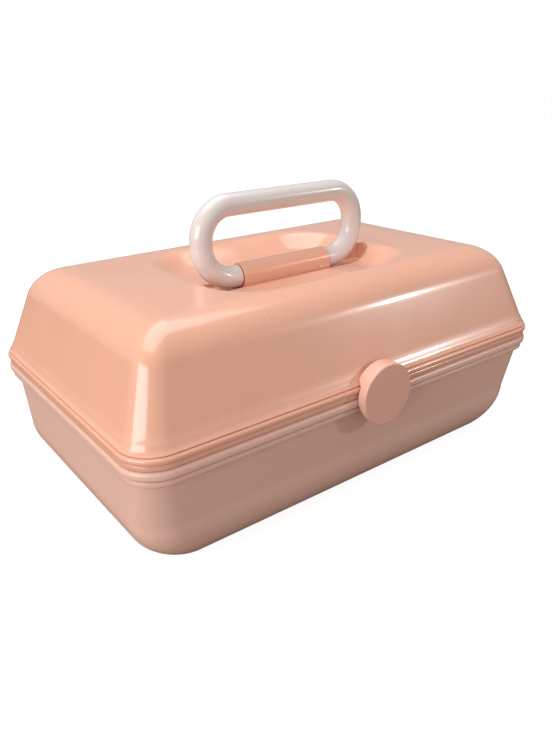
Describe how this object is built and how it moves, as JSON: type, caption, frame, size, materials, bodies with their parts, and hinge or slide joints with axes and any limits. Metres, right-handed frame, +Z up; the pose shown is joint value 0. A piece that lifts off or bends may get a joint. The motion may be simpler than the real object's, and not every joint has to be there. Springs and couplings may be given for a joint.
{
  "type": "makeup storage case",
  "caption": "Moulded vanity case with a hinged domed lid, folding tube handle, round front latch and trays that rise with the lid",
  "frame": {"origin": "centre of the flat underside, on the surface that the case stands on", "axes": "+X along the case's length, -Y towards the latch at the front, +Z up"},
  "size_m": [0.318, 0.2221, 0.1842],
  "materials": {
    "case_plastic": "glossy moulded peach plastic",
    "latch_plastic": "satin moulded peach plastic",
    "handle_plastic": "glossy white plastic",
    "tray_plastic": "glossy off-white plastic",
    "arm_plastic": "matt white plastic",
    "steel": "drawn steel wire",
    "mirror_glass": "silvered sheet"
  },
  "bodies": {
    "base": {"base_tub": "case_plastic", "hinge_pins": "steel", "arm_pivot_rivets": "steel"},
    "lid": {"lid_shell": "case_plastic", "mirror_bezel": "tray_plastic", "mirror": "mirror_glass", "latch_pin": "steel", "lid_link_rivets": "steel"},
    "handle": {"handle": "handle_plastic"},
    "latch": {"latch_disc": "latch_plastic"},
    "front_arms": {"front_arm_left": "arm_plastic", "front_arm_right": "arm_plastic"},
    "back_arms": {"back_arm_left": "arm_plastic", "back_arm_right": "arm_plastic", "arm_link_rivets": "steel"},
    "lid_links": {"lid_link_left": "arm_plastic", "lid_link_right": "arm_plastic"},
    "lower_tray": {"lower_tray": "tray_plastic", "lower_tray_dividers": "tray_plastic", "lower_tray_rivets": "steel"},
    "upper_tray": {"upper_tray": "tray_plastic", "upper_tray_dividers": "tray_plastic", "upper_tray_rivets": "steel"}
  },
  "joints": [
    {"name": "lid_hinge", "type": "hinge", "parent": "base", "child": "lid", "pos_m": [0, 0.1081, 0.075], "axis": [-1, 0, 0], "range_deg": [0, 95]},
    {"name": "handle_fold", "type": "hinge", "parent": "lid", "child": "handle", "pos_m": [0, -0.009, 0.1325], "axis": [-1, 0, 0], "range_deg": [-68, 68]},
    {"name": "latch_swing", "type": "hinge", "parent": "lid", "child": "latch", "pos_m": [0, -0.1039, 0.0875], "axis": [-1, 0, 0], "range_deg": [0, 25]},
    {"name": "front_arm_pivot", "type": "hinge", "parent": "base", "child": "front_arms", "pos_m": [0, -0.024, 0.06], "axis": [-1, 0, 0], "range_deg": [0, 95]},
    {"name": "back_arm_pivot", "type": "hinge", "parent": "base", "child": "back_arms", "pos_m": [0, 0.026, 0.06], "axis": [-1, 0, 0], "range_deg": [0, 95]},
    {"name": "lid_link_pivot", "type": "hinge", "parent": "lid", "child": "lid_links", "pos_m": [0, 0.0842, 0.09506], "axis": [-1, 0, 0], "range_deg": [-95, 0]},
    {"name": "lower_tray_pivot", "type": "hinge", "parent": "front_arms", "child": "lower_tray", "pos_m": [0, -0.05298, 0.06776], "axis": [-1, 0, 0], "range_deg": [-95, 0]},
    {"name": "upper_tray_pivot", "type": "hinge", "parent": "front_arms", "child": "upper_tray", "pos_m": [0, -0.07809, 0.07449], "axis": [-1, 0, 0], "range_deg": [-95, 0]}
  ],
  "couplings": [
    {"joint": "front_arm_pivot", "follows": "lid_hinge", "ratio": 1},
    {"joint": "back_arm_pivot", "follows": "lid_hinge", "ratio": 1},
    {"joint": "lid_link_pivot", "follows": "lid_hinge", "ratio": -1},
    {"joint": "lower_tray_pivot", "follows": "lid_hinge", "ratio": -1},
    {"joint": "upper_tray_pivot", "follows": "lid_hinge", "ratio": -1}
  ]
}
